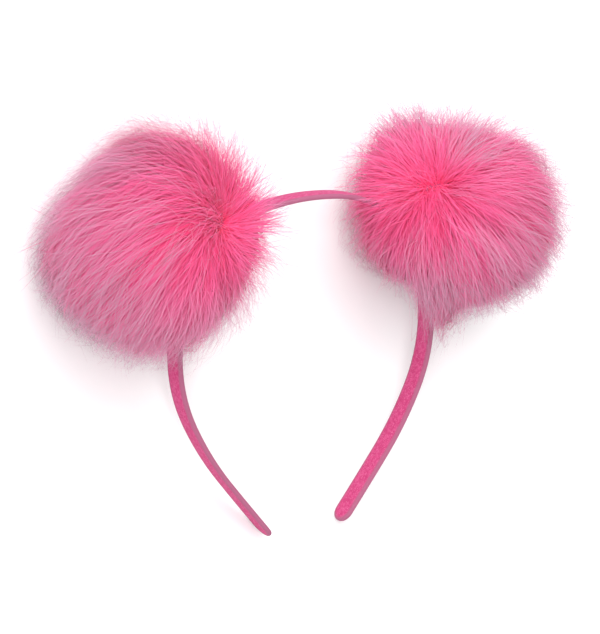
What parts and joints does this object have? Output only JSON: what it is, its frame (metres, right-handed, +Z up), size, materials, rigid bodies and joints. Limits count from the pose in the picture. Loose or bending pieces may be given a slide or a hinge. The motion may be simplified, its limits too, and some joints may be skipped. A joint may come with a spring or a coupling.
{
  "type": "pompom headband",
  "caption": "Open arch headband covered in fabric, with a large round long-haired pompom tied on each shoulder.",
  "frame": {"origin": "on the surface it rests on, under the middle of the whole headband", "axes": "+X across the arch, +Y from the tips towards the crown along the surface, +Z up; it lies on its back with its front face up"},
  "size_m": [0.2268, 0.1652, 0.0834],
  "materials": {
    "band_fabric": "short velvety nap",
    "pompom_fur": "long soft pile, deep at the roots and paler at the tips",
    "tie_cord": "matte cord"
  },
  "bodies": {
    "root": {"band": "band_fabric", "pompom_left": "pompom_fur", "pompom_right": "pompom_fur", "tie_left": "tie_cord", "tie_right": "tie_cord"}
  },
  "joints": []
}
